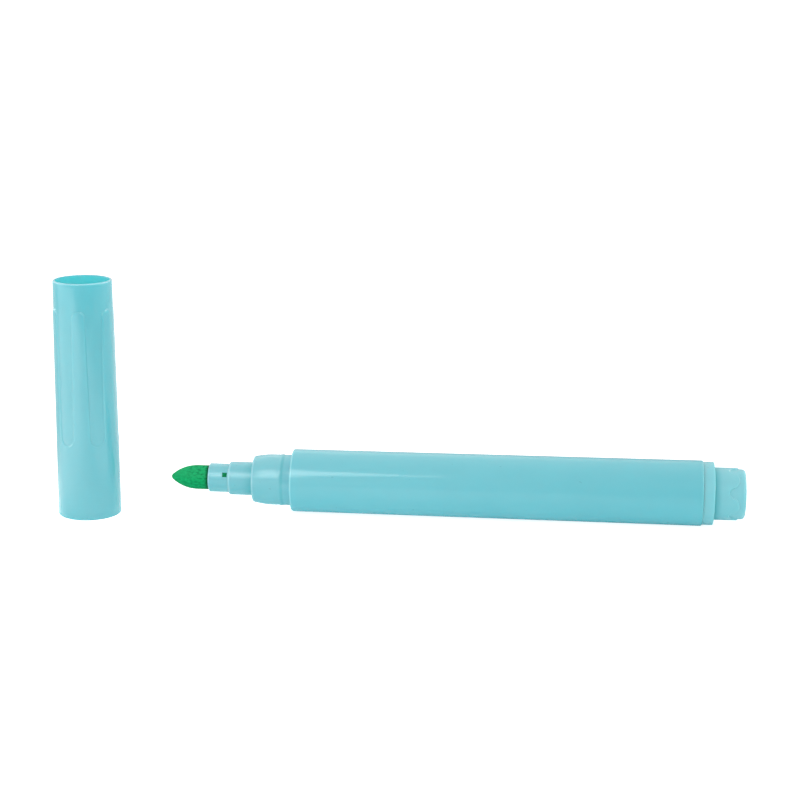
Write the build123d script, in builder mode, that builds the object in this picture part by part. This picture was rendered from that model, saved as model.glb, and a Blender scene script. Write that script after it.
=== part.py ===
from build123d import *
import math
import os

# A liquid chalk marker lying on its side, with its vented cap pulled off and standing on its mouth
# ahead of the nib. Millimetres, +Z up, the marker's axis along X with the nib towards -X.
# Places along the marker are counted from the barrel's front shoulder, positive towards the tail.
# Heights on the cap are counted from its mouth. Angles round the marker start at -Y and turn to +Z.

# Clearances that several pieces share, and the length by which a cutting tool passes its face
press_gap = 0.03
slide_gap = 0.06
cut_overrun = 1.0

# Barrel: a drafted tube that holds the free ink, with a neck for the nose section
barrel_length = 98.08
barrel_front_radius = 7.55
barrel_draft = 0.25
barrel_front_round = 0.3
barrel_rear_round = 0.3
neck_wall = 1.65
tank_step = 0.55

# Nib: a bonded fibre bullet
nib_radius = 2.95
nib_exposed_length = 9.44
nib_taper_length = 6.5
nib_tip_radius = 0.9
nib_overhang = 1.6
nib_tail_chamfer = 0.4

# Nose section: nib holder, sealing collar, cap land that stops on the barrel, and the plug in its neck
land_length = 9.54
land_rise = 0.57
land_straight_length = 4.6
land_stop = 0.25
land_round_share = 0.2
bead_setback = 2.65
bead_width = 1.1
bead_height = 0.08
collar_length = 6.06
collar_step = 0.55
collar_round = 0.5
holder_length = 4.89
holder_wall = 0.35
holder_round = 0.28
guide_rib_height = 0.12
guide_rib_width = 0.7
guide_rib_count = 4
vent_size = 1.15
vent_setback = 4.14
vent_angle = 27.8
nose_wall = 1.54
plug_wall = 1.12
plug_margin = 1.5
chamber_share = 0.57

# Valve: seat cup, gasket, stem, spring and spring cage
valve_setback = 1.0
valve_travel = 2.0
valve_disc_thickness = 1.5
valve_cup_share = 0.8
gasket_thickness = 1.0
gasket_hole_share = 0.2
port_share = 0.3
pusher_inset = 0.35
pusher_thickness = 1.0
stem_rod_share = 0.27
stem_head_share = 0.6
stem_head_thickness = 1.2
stem_head_round = 0.2
stem_spigot_share = 0.85
stem_spigot_length = 2.0
spring_length = 6.3
spring_wire_radius = 0.22
spring_gap = 0.43
spring_turns = 6
cage_disc_thickness = 1.5
cage_skirt_length = 1.4
cage_skirt_wall = 0.7
cage_port_share = 0.4
cage_port_count = 6

# Mixing ball
ball_radius = 3.5
ball_setback = 28.0

# Tail plug: stopper with sealing ribs, stop ring and a crown with a wavy relief
stopper_length = 8.0
stopper_relief = 0.5
stopper_rib_width = 0.9
stopper_rib_pitch = 2.6
stopper_rib_count = 2
stopper_lead = 0.5
ring_length = 2.6
ring_step = 0.3
ring_round = 0.2
crown_length = 7.43
crown_gap = 0.08
crown_round = 0.9
crown_wall = 1.6
crown_relief = 0.28
wave_count = 6
wave_depth = 2.25
wave_end_margin = 1.7
wave_trough_angle = 17.0
wave_trough_share = 0.4

# Cap shell: a tapered tube, raised near the mouth and recessed near the vented end
cap_length = 57.05
cap_mouth_step = 0.03
cap_taper = 0.35
cap_mouth_round = 0.35
cap_end_wall = 0.57
cap_end_round = 0.27
cap_bore_round = 0.1
cap_relief = 0.2
cap_gap = 0.13
mouth_lead = 0.3
mouth_end_gap = 0.46
mouth_step = 0.28
ledge_thickness = 1.2
ledge_width = 0.5
finger_count = 6
finger_length = 32.45
finger_end_margin = 6.55
finger_low_share = 0.47
finger_high_share = 0.6
finger_angle = -55.6

# Inner seal: a cup that closes on the collar, carried by a vented flange
seal_lead_gap = 0.6
seal_wall_share = 0.41
seal_grip_margin = 1.4
seal_taper_length = 1.0
seal_pocket_gap = 0.17
seal_end_gap = 1.6
seal_flange_thickness = 1.5
seal_vent_count = 4
seal_vent_width = 3.6
seal_vent_share = 0.88

# Where the cap stands beside the marker
cap_stand_forward = 48.85
cap_stand_aside = 6.32

# Radii that pieces share, from the barrel inwards and from the nib outwards
barrel_rear_radius = barrel_front_radius + barrel_draft
seat_radius = barrel_front_radius - neck_wall
tank_radius = seat_radius + tank_step
plug_radius = seat_radius - press_gap
land_radius = plug_radius + land_stop
land_front_radius = land_radius - land_rise
guide_radius = nib_radius + slide_gap
guide_bore_radius = guide_radius + guide_rib_height
valve_bore_radius = plug_radius - plug_wall
chamber_radius = guide_bore_radius + chamber_share * (valve_bore_radius - guide_bore_radius)
valve_outer_radius = valve_bore_radius - press_gap
valve_cup_radius = valve_outer_radius * valve_cup_share
stem_rod_radius = valve_outer_radius * stem_rod_share
stem_spigot_radius = stem_rod_radius * stem_spigot_share
valve_annulus = valve_cup_radius - stem_rod_radius
holder_radius = guide_bore_radius + holder_wall
collar_radius = holder_radius + collar_step
ring_radius = barrel_rear_radius - ring_step

# Places along the marker that pieces share
land_front = -land_length
collar_front = land_front - collar_length
holder_front = collar_front - holder_length
nib_tip = holder_front - nib_exposed_length
chamber_front = land_front + nose_wall
nib_tail = chamber_front + nib_overhang
valve_disc_rear = valve_setback + valve_disc_thickness
gasket_rear = valve_disc_rear + gasket_thickness
head_rear = gasket_rear + stem_head_thickness
cage_front = head_rear + spring_length
cage_rear = cage_front + cage_disc_thickness
seat_depth = cage_rear + plug_margin
stopper_front = barrel_length - stopper_length
crown_front = barrel_length + ring_length
tail_end = crown_front + crown_length

# Radii and heights that the cap takes from the marker's two ends
mouth_bore_radius = land_radius + bead_height + cap_gap
mouth_bore_depth = land_length + mouth_end_gap
cap_bore_radius = mouth_bore_radius - mouth_step
cap_mouth_radius = barrel_front_radius - cap_mouth_step
cap_end_radius = cap_mouth_radius - cap_taper
recess_end_radius = cap_end_radius - cap_relief
end_bore_radius = recess_end_radius - cap_end_wall
crown_radius = mouth_bore_radius - crown_gap
recess_crown_radius = crown_radius - crown_relief
crown_inside_radius = recess_crown_radius - crown_wall
pocket_end = seal_end_gap - nib_tip
ledge_height = pocket_end + seal_flange_thickness

# Layout: the middle of the footprint is at the origin, and the lowest faces are at Z = 0
marker_reach = max(barrel_front_radius, barrel_rear_radius)
shoulder_x = (cap_stand_forward + cap_mouth_radius - tail_end) / 2
marker_y = (cap_stand_aside + cap_mouth_radius - marker_reach) / 2
cap_x = shoulder_x - cap_stand_forward
cap_y = marker_y - cap_stand_aside

marker_plane = Plane(origin=(shoulder_x, marker_y, marker_reach), x_dir=(1, 0, 0), z_dir=(0, -1, 0))
marker_axis = Axis(marker_plane.origin, (1, 0, 0))
cap_plane = Plane(origin=(cap_x, cap_y, 0), x_dir=(1, 0, 0), z_dir=(0, -1, 0))
cap_axis = Axis(cap_plane.origin, (0, 0, 1))


def on_axis(place):
    """Point of the marker's axis at a place along it."""
    return marker_plane.from_local_coords((place, 0, 0))


def cross_plane(place, angle=0):
    """Plane across the marker at a place along it, with local X turned to an angle round the axis."""
    turn = math.radians(angle)
    across = (0, -math.cos(turn), math.sin(turn))
    return Plane(origin=on_axis(place), x_dir=across, z_dir=(1, 0, 0))


def side_plane(place, angle):
    """Plane through the marker's axis that faces out at an angle, with local X along the marker."""
    turn = math.radians(angle)
    outward = (0, -math.cos(turn), math.sin(turn))
    return Plane(origin=on_axis(place), x_dir=(1, 0, 0), z_dir=outward)


def cap_side_plane(angle):
    """Upright plane through the cap's axis that faces out at an angle from +X, with local Y upwards."""
    turn = math.radians(angle)
    tangent = (-math.sin(turn), math.cos(turn), 0)
    return Plane(origin=cap_plane.origin, x_dir=tangent, z_dir=(math.cos(turn), math.sin(turn), 0))


def rim(builder, place, radius):
    """The round edge of a marker piece at a place along the marker and a radius."""
    x = on_axis(place).X
    rounds = builder.edges().filter_by(GeomType.CIRCLE)
    return rounds.sort_by(lambda edge: abs(edge.arc_center.X - x) + abs(edge.radius - radius))[0]


def cap_rim(builder, height, radius):
    """The round edge of a cap piece at a height and a radius."""
    rounds = builder.edges().filter_by(GeomType.CIRCLE)
    return rounds.sort_by(lambda edge: abs(edge.arc_center.Z - height) + abs(edge.radius - radius))[0]


def cap_radius(height):
    """Outside radius of the cap's raised surface at a height."""
    return cap_mouth_radius - cap_taper * height / cap_length


# Barrel
with BuildPart() as barrel:
    with BuildSketch(marker_plane):
        with BuildLine():
            Polyline(
                (0, seat_radius),
                (0, barrel_front_radius),
                (barrel_length, barrel_rear_radius),
                (barrel_length, tank_radius),
                (seat_depth, tank_radius),
                (seat_depth, seat_radius),
                close=True,
            )
        make_face()
    revolve(axis=marker_axis)
    fillet(rim(barrel, 0, barrel_front_radius), barrel_front_round)
    fillet(rim(barrel, barrel_length, barrel_rear_radius), barrel_rear_round)

# Nose section
bead_front = -bead_setback - bead_width / 2
bead_rear = bead_front + bead_width
land_round = land_round_share * (land_front_radius - collar_radius)
with BuildPart() as nose_section:
    with BuildSketch(marker_plane):
        with BuildLine():
            Polyline(
                (land_front, land_front_radius),
                (land_front, collar_radius),
                (collar_front, collar_radius),
                (collar_front, holder_radius),
                (holder_front, holder_radius),
                (holder_front, guide_bore_radius),
                (chamber_front, guide_bore_radius),
                (chamber_front, chamber_radius),
                (valve_setback, chamber_radius),
                (valve_setback, valve_bore_radius),
                (seat_depth, valve_bore_radius),
                (seat_depth, plug_radius),
                (0, plug_radius),
                (0, land_radius),
                (bead_rear, land_radius),
            )
            ThreePointArc(
                (bead_rear, land_radius),
                (-bead_setback, land_radius + bead_height),
                (bead_front, land_radius),
            )
            Line((bead_front, land_radius), (-land_straight_length, land_radius))
            TangentArc(
                (-land_straight_length, land_radius),
                (land_front, land_front_radius),
                tangent=(-1, 0),
            )
        make_face()
    revolve(axis=marker_axis)
    fillet(rim(nose_section, land_front, land_front_radius), land_round)
    fillet(rim(nose_section, collar_front, collar_radius), collar_round)
    fillet(rim(nose_section, holder_front, holder_radius), holder_round)
    with BuildSketch(cross_plane(holder_front, vent_angle)):
        with PolarLocations(guide_bore_radius, guide_rib_count):
            Rectangle(2 * guide_rib_height, guide_rib_width)
    extrude(amount=chamber_front - holder_front)
    with BuildSketch(side_plane(holder_front + vent_setback, vent_angle)):
        Rectangle(vent_size, vent_size)
    extrude(amount=holder_radius + cut_overrun, both=True, mode=Mode.SUBTRACT)

# Nib: the taper is an arc that runs smoothly out of the round tip and into the cylinder
taper_rise = nib_radius - nib_tip_radius
taper_run = nib_taper_length - nib_tip_radius
taper_radius = (taper_run**2 + nib_radius**2 - nib_tip_radius**2) / (2 * taper_rise)
tip_turn = math.atan2(taper_run, taper_radius - nib_radius)
tip_join = (
    nib_tip + nib_tip_radius - nib_tip_radius * math.sin(tip_turn),
    nib_tip_radius * math.cos(tip_turn),
)
with BuildPart() as nib:
    with BuildSketch(marker_plane):
        with BuildLine():
            TangentArc((nib_tip, 0), tip_join, tangent=(0, 1))
            TangentArc((nib_tip + nib_taper_length, nib_radius), tip_join, tangent=(-1, 0))
            Polyline(
                (nib_tip + nib_taper_length, nib_radius),
                (nib_tail - nib_tail_chamfer, nib_radius),
                (nib_tail, nib_radius - nib_tail_chamfer),
                (nib_tail, 0),
                (nib_tip, 0),
            )
        make_face()
    revolve(axis=marker_axis)

# Valve body: a cup whose front disc is the valve seat
valve_port_radius = stem_rod_radius + port_share * valve_annulus
with BuildPart() as valve_body:
    with BuildSketch(marker_plane):
        with BuildLine():
            Polyline(
                (valve_setback, valve_port_radius),
                (valve_setback, valve_outer_radius),
                (cage_front, valve_outer_radius),
                (cage_front, valve_cup_radius),
                (valve_disc_rear, valve_cup_radius),
                (valve_disc_rear, valve_port_radius),
                close=True,
            )
        make_face()
    revolve(axis=marker_axis)

# Valve gasket
gasket_hole_radius = stem_rod_radius + gasket_hole_share * valve_annulus
with BuildPart() as valve_gasket:
    with BuildSketch(cross_plane(valve_disc_rear)):
        Circle(valve_cup_radius - press_gap)
        Circle(gasket_hole_radius, mode=Mode.SUBTRACT)
    extrude(amount=gasket_thickness)

# Valve stem: pusher behind the nib, rod through the port, head on the gasket, spigot in the spring
pusher_radius = nib_radius - nib_tail_chamfer - pusher_inset
stem_head_radius = stem_rod_radius + stem_head_share * valve_annulus
spigot_rear = head_rear + stem_spigot_length
with BuildPart() as valve_stem:
    with BuildSketch(marker_plane):
        with BuildLine():
            Polyline(
                (nib_tail, 0),
                (nib_tail, pusher_radius),
                (nib_tail + pusher_thickness, pusher_radius),
                (nib_tail + pusher_thickness, stem_rod_radius),
                (gasket_rear, stem_rod_radius),
                (gasket_rear, stem_head_radius),
                (head_rear, stem_head_radius),
                (head_rear, stem_spigot_radius),
                (spigot_rear, stem_spigot_radius),
                (spigot_rear, 0),
                close=True,
            )
        make_face()
    revolve(axis=marker_axis)
    fillet(rim(valve_stem, head_rear, stem_head_radius), stem_head_round)

# Valve spring: one helix between the stem's head and the cage's disc
spring_coil_radius = stem_spigot_radius + spring_gap + spring_wire_radius
spring_inset = spring_wire_radius + slide_gap
spring_height = spring_length - 2 * spring_inset
with BuildPart() as valve_spring:
    with BuildLine() as spring_path:
        Helix(
            spring_height / spring_turns,
            spring_height,
            spring_coil_radius,
            center=on_axis(head_rear + spring_inset),
            direction=(1, 0, 0),
        )
    with BuildSketch(Plane(origin=spring_path.line @ 0, z_dir=spring_path.line % 0)):
        Circle(spring_wire_radius)
    sweep(path=spring_path.line)

# Valve cage: closes the cup behind the spring and lets the ink through its ports
skirt_radius = valve_cup_radius - press_gap
skirt_inside_radius = skirt_radius - cage_skirt_wall
spring_outer_radius = spring_coil_radius + spring_wire_radius
cage_port_room = skirt_inside_radius - spring_outer_radius
cage_port_radius = cage_port_share * cage_port_room
cage_boss_length = (spring_length - stem_spigot_length - valve_travel) / 2
with BuildPart() as valve_cage:
    with BuildSketch(cross_plane(cage_front)):
        Circle(valve_outer_radius)
        with PolarLocations(spring_outer_radius + cage_port_room / 2, cage_port_count):
            Circle(cage_port_radius, mode=Mode.SUBTRACT)
    extrude(amount=cage_disc_thickness)
    with BuildSketch(cross_plane(cage_front)):
        Circle(skirt_radius)
        Circle(skirt_inside_radius, mode=Mode.SUBTRACT)
    extrude(amount=-cage_skirt_length)
    with BuildSketch(cross_plane(cage_front)):
        Circle(stem_spigot_radius)
    extrude(amount=-cage_boss_length)

# Mixing ball: loose in the ink, on the floor of the tank
ball_drop = tank_radius - ball_radius - slide_gap
with BuildPart() as mixing_ball:
    with Locations(marker_plane.from_local_coords((stopper_front - ball_setback, -ball_drop, 0))):
        Sphere(ball_radius)

# Crown relief: the tool that lowers the crown beyond a wavy line
wave_step = 360 / wave_count
wave_planes = [side_plane(crown_front, wave_trough_angle + wave_step * n) for n in range(wave_count)]
wave_half_width = crown_radius * math.sin(math.pi / wave_count)
wave_crest = crown_length - wave_end_margin
wave_join = wave_crest - wave_depth * (1 - wave_trough_share)
wave_join_half = wave_half_width * wave_trough_share
wave_tool_end = crown_length + cut_overrun
with BuildPart() as crown_relief_tool:
    with BuildSketch(*wave_planes):
        with BuildLine():
            for side in (1, -1):
                TangentArc(
                    (wave_crest - wave_depth, 0),
                    (wave_join, side * wave_join_half),
                    tangent=(0, side),
                )
                TangentArc(
                    (wave_crest, side * wave_half_width),
                    (wave_join, side * wave_join_half),
                    tangent=(0, -side),
                )
            Polyline(
                (wave_crest, wave_half_width),
                (wave_tool_end, wave_half_width),
                (wave_tool_end, -wave_half_width),
                (wave_crest, -wave_half_width),
            )
        make_face()
    extrude(amount=crown_radius + cut_overrun)
    with BuildSketch(marker_plane):
        with BuildLine():
            Polyline(
                (tail_end - crown_round, recess_crown_radius),
                (crown_front, recess_crown_radius),
                (crown_front, crown_radius + cut_overrun),
                (tail_end + cut_overrun, crown_radius + cut_overrun),
                (tail_end + cut_overrun, recess_crown_radius - crown_round),
                (tail_end, recess_crown_radius - crown_round),
            )
            TangentArc(
                (tail_end - crown_round, recess_crown_radius),
                (tail_end, recess_crown_radius - crown_round),
                tangent=(1, 0),
            )
        make_face()
    revolve(axis=marker_axis, mode=Mode.INTERSECT)

# Tail plug
stopper_radius = tank_radius - stopper_relief
stopper_rib_radius = tank_radius - press_gap
rib_middle_radius = (stopper_rib_radius + crown_inside_radius) / 2
with BuildPart() as tail_plug:
    with BuildSketch(marker_plane):
        with BuildLine():
            Polyline(
                (stopper_front, crown_inside_radius),
                (stopper_front, stopper_radius - stopper_lead),
                (stopper_front + stopper_lead, stopper_radius),
                (barrel_length, stopper_radius),
                (barrel_length, ring_radius),
                (crown_front, ring_radius),
                (crown_front, crown_radius),
                (tail_end, crown_radius),
                (tail_end, 0),
                (tail_end - crown_wall, 0),
                (tail_end - crown_wall, crown_inside_radius),
                close=True,
            )
        make_face()
        for n in range(stopper_rib_count):
            with Locations((barrel_length - stopper_rib_pitch * (n + 1), rib_middle_radius)):
                Rectangle(stopper_rib_width, stopper_rib_radius - crown_inside_radius)
    revolve(axis=marker_axis)
    fillet(rim(tail_plug, crown_front, ring_radius), ring_round)
    add(crown_relief_tool.part, mode=Mode.SUBTRACT)

# Cap relief: the tool that leaves raised fingers standing between recessed ones
finger_step = 360 / finger_count
finger_planes = [cap_side_plane(finger_angle + finger_step * n) for n in range(finger_count)]
finger_top = cap_length - finger_end_margin
finger_bottom = finger_top - finger_length
finger_turn = math.pi / finger_count
finger_half_width = cap_radius(finger_top) * math.sin(finger_turn)
finger_high_half = cap_radius(finger_top) * math.sin(finger_turn * finger_high_share)
finger_low_half = cap_radius(finger_bottom) * math.sin(finger_turn * finger_low_share)
finger_arch = finger_half_width - finger_high_half
cap_tool_radius = cap_mouth_radius + cut_overrun
cap_tool_top = cap_length + cut_overrun
with BuildPart() as cap_relief_tool:
    with BuildSketch(*finger_planes):
        with BuildLine():
            for side in (1, -1):
                Line(
                    (side * finger_low_half, finger_bottom + finger_low_half),
                    (side * finger_high_half, finger_top - finger_arch),
                )
                TangentArc(
                    (side * finger_high_half, finger_top - finger_arch),
                    (side * finger_half_width, finger_top),
                    tangent=(0, 1),
                )
                Line(
                    (side * finger_half_width, finger_top),
                    (side * finger_half_width, cap_tool_top),
                )
            ThreePointArc(
                (-finger_low_half, finger_bottom + finger_low_half),
                (0, finger_bottom),
                (finger_low_half, finger_bottom + finger_low_half),
            )
            Line((-finger_half_width, cap_tool_top), (finger_half_width, cap_tool_top))
        make_face()
    extrude(amount=cap_tool_radius)
    with BuildSketch(cap_plane):
        with BuildLine():
            Polyline(
                (recess_end_radius, cap_length - cap_end_round),
                (cap_mouth_radius - cap_relief, 0),
                (cap_tool_radius, 0),
                (cap_tool_radius, cap_tool_top),
                (recess_end_radius - cap_end_round, cap_tool_top),
                (recess_end_radius - cap_end_round, cap_length),
            )
            TangentArc(
                (recess_end_radius, cap_length - cap_end_round),
                (recess_end_radius - cap_end_round, cap_length),
                tangent=(0, 1),
            )
        make_face()
    revolve(axis=cap_axis, mode=Mode.INTERSECT)

# Cap shell
with BuildPart() as cap_shell:
    with BuildSketch(cap_plane):
        with BuildLine():
            Polyline(
                (mouth_bore_radius + mouth_lead, 0),
                (cap_mouth_radius, 0),
                (cap_end_radius, cap_length),
                (end_bore_radius, cap_length),
                (end_bore_radius, ledge_height + ledge_thickness),
                (cap_bore_radius - ledge_width, ledge_height + ledge_thickness),
                (cap_bore_radius - ledge_width, ledge_height),
                (cap_bore_radius, ledge_height),
                (cap_bore_radius, mouth_bore_depth),
                (mouth_bore_radius, mouth_bore_depth),
                (mouth_bore_radius, mouth_lead),
                close=True,
            )
        make_face()
    revolve(axis=cap_axis)
    fillet(cap_rim(cap_shell, 0, cap_mouth_radius), cap_mouth_round)
    fillet(cap_rim(cap_shell, cap_length, end_bore_radius), cap_bore_round)
    add(cap_relief_tool.part, mode=Mode.SUBTRACT)

# Inner seal
seal_low = mouth_bore_depth + seal_lead_gap
seal_grip_end = seal_grip_margin - collar_front
seal_grip_radius = collar_radius + slide_gap
seal_outer_radius = seal_grip_radius + seal_wall_share * (cap_bore_radius - seal_grip_radius)
seal_vent_depth = seal_vent_share * (cap_bore_radius - seal_outer_radius)
seal_pocket_radius = holder_radius + seal_pocket_gap
seal_flange_radius = cap_bore_radius - press_gap
with BuildPart() as cap_inner_seal:
    with BuildSketch(cap_plane):
        with BuildLine():
            Polyline(
                (seal_grip_radius, seal_low),
                (seal_outer_radius, seal_low),
                (seal_outer_radius, pocket_end),
                (seal_flange_radius, pocket_end),
                (seal_flange_radius, ledge_height),
                (0, ledge_height),
                (0, pocket_end),
                (seal_pocket_radius, pocket_end),
                (seal_pocket_radius, seal_grip_end + seal_taper_length),
                (seal_grip_radius, seal_grip_end),
                close=True,
            )
        make_face()
    revolve(axis=cap_axis)
    with BuildSketch(Plane(cap_plane.origin, z_dir=(0, 0, 1)).offset(pocket_end)):
        with PolarLocations(cap_bore_radius, seal_vent_count):
            Rectangle(2 * seal_vent_depth, seal_vent_width)
    extrude(amount=seal_flange_thickness, mode=Mode.SUBTRACT)

pieces = {
    "barrel": barrel,
    "nose_section": nose_section,
    "nib": nib,
    "valve_body": valve_body,
    "valve_gasket": valve_gasket,
    "valve_stem": valve_stem,
    "valve_spring": valve_spring,
    "valve_cage": valve_cage,
    "mixing_ball": mixing_ball,
    "tail_plug": tail_plug,
    "cap_shell": cap_shell,
    "cap_inner_seal": cap_inner_seal,
}
os.makedirs("parts", exist_ok=True)
for label, piece in pieces.items():
    piece.part.label = label
    export_step(piece.part, f"parts/{label}.step")
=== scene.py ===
"""Looks of a liquid chalk marker and its cap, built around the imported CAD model. Metres, +Z up."""

import math

import bpy
import numpy as np
from mathutils import Matrix, Vector, noise


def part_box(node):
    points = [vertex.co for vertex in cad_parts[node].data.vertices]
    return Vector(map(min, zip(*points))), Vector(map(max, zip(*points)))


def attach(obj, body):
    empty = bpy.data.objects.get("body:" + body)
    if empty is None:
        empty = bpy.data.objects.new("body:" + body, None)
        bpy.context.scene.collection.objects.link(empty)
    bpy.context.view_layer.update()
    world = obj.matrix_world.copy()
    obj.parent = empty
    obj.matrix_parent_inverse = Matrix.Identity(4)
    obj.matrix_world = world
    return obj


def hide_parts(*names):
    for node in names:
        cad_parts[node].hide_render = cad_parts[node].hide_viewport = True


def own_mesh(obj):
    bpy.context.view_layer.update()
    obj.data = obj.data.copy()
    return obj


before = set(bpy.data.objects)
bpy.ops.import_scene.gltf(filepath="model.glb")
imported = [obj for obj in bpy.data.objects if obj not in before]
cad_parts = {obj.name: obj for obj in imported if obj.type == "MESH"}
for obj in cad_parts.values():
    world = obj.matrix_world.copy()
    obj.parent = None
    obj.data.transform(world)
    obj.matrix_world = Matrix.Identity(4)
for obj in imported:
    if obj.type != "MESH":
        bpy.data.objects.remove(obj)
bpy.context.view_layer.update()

MM = 0.001
SUPPORT = 0.03  # mm, distance of the extra rings that hold a rounded edge's shading
SHARP_ANGLE = math.radians(32)

# Where the CAD model puts the marker's axis and the cap's axis
barrel_low, barrel_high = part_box("barrel")
SHOULDER_X = barrel_low.x
AXIS_Y = (barrel_low.y + barrel_high.y) / 2
AXIS_Z = (barrel_low.z + barrel_high.z) / 2
cap_low, cap_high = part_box("cap_shell")
CAP_X = (cap_low.x + cap_high.x) / 2
CAP_Y = (cap_low.y + cap_high.y) / 2
CAP_Z = cap_low.z

# Sizes of the visible pieces in mm, as in the CAD model. Places count from the barrel's shoulder.
BARREL_LENGTH = 98.08
BARREL_FRONT_RADIUS = 7.55
BARREL_REAR_RADIUS = 7.8
BARREL_ROUND = 0.3
NECK_RADIUS = 5.9
NECK_LENGTH = 14.0
NECK_ROUND = 0.08
TANK_RADIUS = 6.45

HOLDER_FRONT = -20.49
HOLDER_RADIUS = 3.48
HOLDER_ROUND = 0.28
HOLDER_BORE_ROUND = 0.05
COLLAR_FRONT = -15.6
COLLAR_RADIUS = 4.03
COLLAR_ROUND = 0.49
COLLAR_FOOT_ROUND = 0.03
LAND_FRONT = -9.54
LAND_FRONT_RADIUS = 5.55
LAND_RADIUS = 6.12
LAND_STRAIGHT = 4.6
LAND_ROUND = 0.3
LAND_FOOT_ROUND = 0.06
BEAD_PLACE = -2.65
BEAD_WIDTH = 1.1
BEAD_HEIGHT = 0.08
GUIDE_BORE_RADIUS = 3.13
GUIDE_RADIUS = 3.01
CHAMBER_FRONT = -8.0
CHAMBER_RADIUS = 4.053
VALVE_SETBACK = 1.0
VALVE_BORE_RADIUS = 4.75
PLUG_RADIUS = 5.87
VENT_PLACE = -16.35
VENT_HALF = 0.575
VENT_ANGLE = math.radians(27.8)
RIB_COUNT = 4
RIB_HALF = 0.35

NIB_TIP = -29.93
NIB_TAIL = -6.4
NIB_RADIUS = 2.95
NIB_TIP_RADIUS = 0.9
NIB_TAPER = 6.5
NIB_TAIL_CHAMFER = 0.4

SPRING_FRONT = 4.98
SPRING_REAR = 10.72
SPRING_COIL_RADIUS = 1.733
SPRING_WIRE_RADIUS = 0.22
SPRING_TURNS = 6

STOPPER_FRONT = 90.08
STOPPER_RADIUS = 5.95
STOPPER_LEAD = 0.5
STOPPER_RIB_RADIUS = 6.42
STOPPER_RIB_HALF = 0.45
STOPPER_RIB_ROUND = 0.12
STOPPER_RIB_PLACES = (92.88, 95.48)
RING_RADIUS = 7.5
RING_FRONT_ROUND = 0.04
RING_ROUND = 0.2
CROWN_FRONT = 100.68
CROWN_RADIUS = 6.25
CROWN_RELIEF = 0.28
CROWN_ROUND = 0.9
CROWN_FOOT_ROUND = 0.1
CROWN_INSIDE_RADIUS = 4.37
CROWN_INSIDE_END = 106.51
TAIL_END = 108.11
WAVE_COUNT = 6
WAVE_CREST = 106.41
WAVE_DEPTH = 2.25
WAVE_TROUGH_ANGLE = math.radians(17)
WAVE_TROUGH_SHARE = 0.4

CAP_LENGTH = 57.05
CAP_MOUTH_RADIUS = 7.52
CAP_END_RADIUS = 7.17
CAP_RELIEF = 0.2
CAP_MOUTH_ROUND = 0.35
CAP_END_ROUND = 0.27
CAP_BORE_ROUND = 0.1
MOUTH_BORE_RADIUS = 6.33
MOUTH_BORE_DEPTH = 10.0
MOUTH_LEAD = 0.3
CAP_BORE_RADIUS = 6.05
LEDGE_LOW = 33.03
LEDGE_HIGH = 34.23
LEDGE_RADIUS = 5.55
LEDGE_ROUND = 0.1
END_BORE_RADIUS = 6.4
FINGER_COUNT = 6
FINGER_ANGLE = math.radians(-55.6)
FINGER_TOP = 50.5
FINGER_BOTTOM = 18.05
FINGER_HALF_STEP = 3.6051
FINGER_HIGH_HALF = 2.2281
FINGER_LOW_HALF = 1.805
FINGER_ARCH = FINGER_HALF_STEP - FINGER_HIGH_HALF


def x_at(place):
    """The x of a place along the marker."""
    return SHOULDER_X + place * MM


def marker_points(place, radius, angle):
    """Points round the marker's axis, with angles from -Y towards +Z."""
    across = AXIS_Y - radius * MM * np.cos(angle)
    return np.stack((x_at(place), across, AXIS_Z + radius * MM * np.sin(angle)), axis=-1)


def cap_points(place, radius, angle):
    """Points round the cap's axis at heights above its mouth, with angles from +X towards +Y."""
    across = CAP_Y + radius * MM * np.sin(angle)
    return np.stack((CAP_X + radius * MM * np.cos(angle), across, CAP_Z + place * MM), axis=-1)


def rounded(corners, steps=6):
    """(place, radius) points of a closed profile, from corners (place, radius, rounding)."""
    points = []
    count = len(corners)
    for i, (place, radius, rounding) in enumerate(corners):
        here = np.array((place, radius), float)
        if rounding <= 0:
            points.append(here)
            continue
        before = np.array(corners[i - 1][:2], float) - here
        after = np.array(corners[(i + 1) % count][:2], float) - here
        before /= np.linalg.norm(before)
        after /= np.linalg.norm(after)
        half = math.acos(np.clip(before @ after, -1, 1)) / 2
        reach = rounding / math.tan(half)
        middle = before + after
        centre = here + middle / np.linalg.norm(middle) * rounding / math.sin(half)
        first = here + before * reach
        last = here + after * reach
        start = math.atan2(*(first - centre)[::-1])
        turn = math.atan2(*(last - centre)[::-1]) - start
        turn = (turn + math.pi) % (2 * math.pi) - math.pi
        points.append(first + before * SUPPORT)
        for step in range(steps + 1):
            a = start + turn * step / steps
            points.append(centre + rounding * np.array((math.cos(a), math.sin(a))))
        points.append(last + after * SUPPORT)
    return [(float(t), float(r)) for t, r in points]


def new_object(name, verts, faces):
    mesh = bpy.data.meshes.new(name)
    mesh.from_pydata(verts, [], faces)
    mesh.validate()
    mesh.polygons.foreach_set("use_smooth", [True] * len(mesh.polygons))
    mesh.set_sharp_from_angle(angle=SHARP_ANGLE)
    obj = bpy.data.objects.new(name, mesh)
    bpy.context.scene.collection.objects.link(obj)
    return obj


def turn_outward(obj):
    """Flips a closed body whose volume comes out negative."""
    mesh = obj.data
    mesh.calc_loop_triangles()
    co = np.zeros(len(mesh.vertices) * 3)
    mesh.vertices.foreach_get("co", co)
    co = co.reshape(-1, 3)
    co -= co.mean(0)
    tris = np.array([t.vertices[:] for t in mesh.loop_triangles])
    if np.einsum("ij,ij->", co[tris[:, 0]], np.cross(co[tris[:, 1]], co[tris[:, 2]])) < 0:
        mesh.flip_normals()
    mesh.update()


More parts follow.
